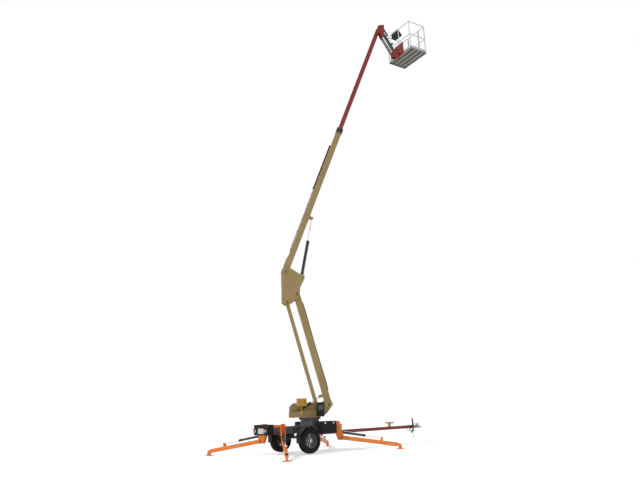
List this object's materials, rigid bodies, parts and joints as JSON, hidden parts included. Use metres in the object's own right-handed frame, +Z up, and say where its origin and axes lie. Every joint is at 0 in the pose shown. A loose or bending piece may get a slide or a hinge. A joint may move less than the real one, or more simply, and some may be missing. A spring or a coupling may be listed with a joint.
{
  "type": "towable boom lift",
  "caption": "Trailer boom lift with folding outriggers, a slewing turntable, a parallelogram tower, a telescopic boom, a jib and a work platform",
  "frame": {"origin": "centre of the towing ball's socket in the coupler, 520 mm above the ground", "axes": "+X along the drawbar away from the wheels, +Y to the trailer's left, +Z up"},
  "size_m": [7.442, 4.7619, 14.9921],
  "materials": {
    "black_paint": "satin",
    "black_plastic": "matte",
    "cast_grey": "matte",
    "chrome_rod": "polished",
    "cream_paint": "satin",
    "cream_plastic": "satin",
    "grey_steel": "satin",
    "orange_paint": "satin",
    "rail_paint": "satin",
    "red_paint": "satin",
    "tread_alloy": "satin",
    "tyre": "matte",
    "yellow_paint": "satin"
  },
  "bodies": {
    "chassis": {"chassis_frame": "grey_steel", "drawbar": "red_paint", "boom_rest": "yellow_paint", "coupler": "cast_grey", "jack_tube": "grey_steel", "axle": "grey_steel", "fender_left": "black_plastic", "fender_right": "black_plastic", "side_cover_left": "black_plastic", "side_cover_right": "black_plastic", "rear_box": "black_plastic", "slew_pedestal": "grey_steel", "mounts_front": "orange_paint", "mounts_rear": "orange_paint"},
    "jack_leg": {"jack_leg": "chrome_rod"},
    "wheel_left": {"tyre_left": "tyre", "rim_left": "grey_steel"},
    "wheel_right": {"tyre_right": "tyre", "rim_right": "grey_steel"},
    "turntable": {"turntable_frame": "cream_paint", "power_cover": "cream_plastic", "motor_cover": "black_plastic", "control_box": "yellow_paint"},
    "tower": {"tower_arm": "cream_paint"},
    "tower_link": {"tower_link": "cream_paint"},
    "upright": {"upright": "cream_paint"},
    "tower_barrel": {"tower_barrel": "black_paint"},
    "tower_rod": {"tower_rod": "chrome_rod"},
    "boom": {"main_boom": "cream_paint", "boom_collar": "black_paint", "cable_carrier": "black_plastic"},
    "lift_barrel": {"lift_barrel": "black_paint"},
    "lift_rod": {"lift_rod": "chrome_rod"},
    "fly": {"fly_boom": "red_paint"},
    "tip_bracket": {"tip_bracket": "red_paint"},
    "jib": {"jib_arm": "grey_steel"},
    "jib_link": {"jib_link": "grey_steel"},
    "jib_barrel": {"jib_barrel": "black_paint"},
    "jib_rod": {"jib_rod": "chrome_rod"},
    "platform_support": {"platform_support": "red_paint"},
    "platform": {"platform_carrier": "red_paint", "platform_floor": "tread_alloy", "platform_rails": "rail_paint", "console": "black_plastic"},
    "gate": {"platform_gate": "rail_paint"},
    "outrigger_front_left": {"outrigger_front_left": "orange_paint"},
    "leg_barrel_front_left": {"leg_barrel_front_left": "black_paint"},
    "leg_rod_front_left": {"leg_rod_front_left": "chrome_rod"},
    "outrigger_front_right": {"outrigger_front_right": "orange_paint"},
    "leg_barrel_front_right": {"leg_barrel_front_right": "black_paint"},
    "leg_rod_front_right": {"leg_rod_front_right": "chrome_rod"},
    "outrigger_rear_left": {"outrigger_rear_left": "orange_paint"},
    "leg_barrel_rear_left": {"leg_barrel_rear_left": "black_paint"},
    "leg_rod_rear_left": {"leg_rod_rear_left": "chrome_rod"},
    "outrigger_rear_right": {"outrigger_rear_right": "orange_paint"},
    "leg_barrel_rear_right": {"leg_barrel_rear_right": "black_paint"},
    "leg_rod_rear_right": {"leg_rod_rear_right": "chrome_rod"}
  },
  "joints": [
    {"name": "wheel_left_spin", "type": "hinge", "parent": "chassis", "child": "wheel_left", "pos_m": [-5.5, 0.75, -0.135], "axis": [0, 1, 0], "continuous": true},
    {"name": "wheel_right_spin", "type": "hinge", "parent": "chassis", "child": "wheel_right", "pos_m": [-5.5, -0.75, -0.135], "axis": [0, 1, 0], "continuous": true},
    {"name": "jack_slide", "type": "slide", "parent": "chassis", "child": "jack_leg", "axis": [0, 0, 1], "range_m": [-0.185, 0]},
    {"name": "outrigger_front_left_fold", "type": "hinge", "parent": "chassis", "child": "outrigger_front_left", "pos_m": [-4.15, 0.6, -0.12], "axis": [0.6626, -0.749, 0], "range_deg": [0, 96]},
    {"name": "leg_front_left_swing", "type": "hinge", "parent": "chassis", "child": "leg_barrel_front_left", "pos_m": [-4.22864, 0.53042, 0.05], "axis": [0.6626, -0.749, 0], "range_deg": [-0.02, 96.5]},
    {"name": "leg_front_left_stroke", "type": "slide", "parent": "leg_barrel_front_left", "child": "leg_rod_front_left", "axis": [0.7387, 0.6535, -0.165], "range_m": [-0.30879, 0.0005]},
    {"name": "outrigger_front_right_fold", "type": "hinge", "parent": "chassis", "child": "outrigger_front_right", "pos_m": [-4.15, -0.6, -0.12], "axis": [-0.6626, -0.749, 0], "range_deg": [0, 96]},
    {"name": "leg_front_right_swing", "type": "hinge", "parent": "chassis", "child": "leg_barrel_front_right", "pos_m": [-4.22864, -0.53042, 0.05], "axis": [-0.6626, -0.749, 0], "range_deg": [-0.02, 96.5]},
    {"name": "leg_front_right_stroke", "type": "slide", "parent": "leg_barrel_front_right", "child": "leg_rod_front_right", "axis": [0.7387, -0.6535, -0.165], "range_m": [-0.30879, 0.0005]},
    {"name": "outrigger_rear_left_fold", "type": "hinge", "parent": "chassis", "child": "outrigger_rear_left", "pos_m": [-6.32, 0.6, -0.12], "axis": [0.848, 0.5299, 0], "range_deg": [0, 96]},
    {"name": "leg_rear_left_swing", "type": "hinge", "parent": "chassis", "child": "leg_barrel_rear_left", "pos_m": [-6.26436, 0.51095, 0.05], "axis": [0.848, 0.5299, 0], "range_deg": [-0.02, 96.5]},
    {"name": "leg_rear_left_stroke", "type": "slide", "parent": "leg_barrel_rear_left", "child": "leg_rod_rear_left", "axis": [-0.5227, 0.8364, -0.165], "range_m": [-0.30879, 0.0005]},
    {"name": "outrigger_rear_right_fold", "type": "hinge", "parent": "chassis", "child": "outrigger_rear_right", "pos_m": [-6.32, -0.6, -0.12], "axis": [-0.848, 0.5299, 0], "range_deg": [0, 96]},
    {"name": "leg_rear_right_swing", "type": "hinge", "parent": "chassis", "child": "leg_barrel_rear_right", "pos_m": [-6.26436, -0.51095, 0.05], "axis": [-0.848, 0.5299, 0], "range_deg": [-0.02, 96.5]},
    {"name": "leg_rear_right_stroke", "type": "slide", "parent": "leg_barrel_rear_right", "child": "leg_rod_rear_right", "axis": [-0.5227, -0.8364, -0.165], "range_m": [-0.30879, 0.0005]},
    {"name": "slew", "type": "hinge", "parent": "chassis", "child": "turntable", "pos_m": [-4.9, 0, 0.52], "axis": [0, 0, 1], "range_deg": [-150, 209]},
    {"name": "tower_lift", "type": "hinge", "parent": "turntable", "child": "tower", "pos_m": [-4.37396, -0.29883, 0.897], "axis": [0.4939, 0.8695, 0], "range_deg": [-75.5, 2]},
    {"name": "tower_link_turn", "type": "hinge", "parent": "turntable", "child": "tower_link", "pos_m": [-4.65219, -0.14077, 0.637], "axis": [0.4939, 0.8695, 0], "range_deg": [-75.52, 2.02]},
    {"name": "upright_level", "type": "hinge", "parent": "tower", "child": "upright", "pos_m": [-5.16422, 0.1501, 4.41138], "axis": [0.4939, 0.8695, 0], "range_deg": [-2.02, 75.52]},
    {"name": "tower_barrel_swing", "type": "hinge", "parent": "turntable", "child": "tower_barrel", "pos_m": [-5.33475, 0.24697, 0.615], "axis": [0.4939, 0.8695, 0], "range_deg": [-0.63, 23.12]},
    {"name": "tower_rod_stroke", "type": "slide", "parent": "tower_barrel", "child": "tower_rod", "axis": [0.7374, -0.4189, 0.5298], "range_m": [-0.23505, 0.00671]},
    {"name": "boom_lift", "type": "hinge", "parent": "upright", "child": "boom", "pos_m": [-5.46072, 0.31853, 5.14438], "axis": [-0.4939, -0.8695, 0], "range_deg": [-68.2, 3.8]},
    {"name": "lift_barrel_swing", "type": "hinge", "parent": "upright", "child": "lift_barrel", "pos_m": [-5.00684, 0.0607, 4.97138], "axis": [-0.4939, -0.8695, 0], "range_deg": [-77.84, 4.36]},
    {"name": "lift_rod_stroke", "type": "slide", "parent": "lift_barrel", "child": "lift_rod", "axis": [0.1765, -0.1002, 0.9792], "range_m": [-0.60518, 0.03419]},
    {"name": "fly_extend", "type": "slide", "parent": "boom", "child": "fly", "axis": [0.3229, -0.1834, 0.9285], "range_m": [-4.08, 0]},
    {"name": "tip_level", "type": "hinge", "parent": "fly", "child": "tip_bracket", "pos_m": [-2.24784, -1.50664, 14.38281], "axis": [-0.4939, -0.8695, 0], "range_deg": [-3.82, 68.22]},
    {"name": "jib_lift", "type": "hinge", "parent": "tip_bracket", "child": "jib", "pos_m": [-2.1522, -1.56097, 14.23281], "axis": [-0.4939, -0.8695, 0], "range_deg": [-7, 103]},
    {"name": "jib_link_turn", "type": "hinge", "parent": "tip_bracket", "child": "jib_link", "pos_m": [-2.20437, -1.53133, 14.01281], "axis": [-0.4939, -0.8695, 0], "range_deg": [-7.02, 103.02]},
    {"name": "support_level", "type": "hinge", "parent": "jib", "child": "platform_support", "pos_m": [-1.79693, -1.76279, 13.4309], "axis": [-0.4939, -0.8695, 0], "range_deg": [-103.02, 7.02]},
    {"name": "jib_barrel_swing", "type": "hinge", "parent": "tip_bracket", "child": "jib_barrel", "pos_m": [-2.12611, -1.57579, 14.42281], "axis": [-0.4939, -0.8695, 0], "range_deg": [-6.65, 97.56]},
    {"name": "jib_rod_stroke", "type": "slide", "parent": "jib_barrel", "child": "jib_rod", "axis": [0.3865, -0.2196, -0.8958], "range_m": [-0.28094, 0.01956]},
    {"name": "platform_turn", "type": "hinge", "parent": "platform_support", "child": "platform", "pos_m": [-1.68389, -1.827, 13.3309], "axis": [0, 0, 1], "range_deg": [-94, 45]},
    {"name": "gate_swing", "type": "hinge", "parent": "platform", "child": "gate", "pos_m": [-0.86693, -2.16243, 13.8309], "axis": [0, 0, 1], "range_deg": [0, 85]}
  ],
  "couplings": [
    {"joint": "leg_front_left_swing", "follows": "outrigger_front_left_fold", "ratio": 1.005},
    {"joint": "leg_front_left_stroke", "follows": "outrigger_front_left_fold", "m_per_rad": -0.184},
    {"joint": "leg_front_right_swing", "follows": "outrigger_front_right_fold", "ratio": 1.005},
    {"joint": "leg_front_right_stroke", "follows": "outrigger_front_right_fold", "m_per_rad": -0.184},
    {"joint": "leg_rear_left_swing", "follows": "outrigger_rear_left_fold", "ratio": 1.005},
    {"joint": "leg_rear_left_stroke", "follows": "outrigger_rear_left_fold", "m_per_rad": -0.184},
    {"joint": "leg_rear_right_swing", "follows": "outrigger_rear_right_fold", "ratio": 1.005},
    {"joint": "leg_rear_right_stroke", "follows": "outrigger_rear_right_fold", "m_per_rad": -0.184},
    {"joint": "tower_link_turn", "follows": "tower_lift", "ratio": 1},
    {"joint": "upright_level", "follows": "tower_lift", "ratio": -1},
    {"joint": "tower_barrel_swing", "follows": "tower_lift", "ratio": -0.306},
    {"joint": "tower_rod_stroke", "follows": "tower_lift", "m_per_rad": 0.178},
    {"joint": "lift_barrel_swing", "follows": "boom_lift", "ratio": 1.141},
    {"joint": "lift_rod_stroke", "follows": "boom_lift", "m_per_rad": 0.508},
    {"joint": "tip_level", "follows": "boom_lift", "ratio": -1},
    {"joint": "jib_link_turn", "follows": "jib_lift", "ratio": 1},
    {"joint": "support_level", "follows": "jib_lift", "ratio": -1},
    {"joint": "jib_barrel_swing", "follows": "jib_lift", "ratio": 0.947},
    {"joint": "jib_rod_stroke", "follows": "jib_lift", "m_per_rad": -0.156}
  ]
}
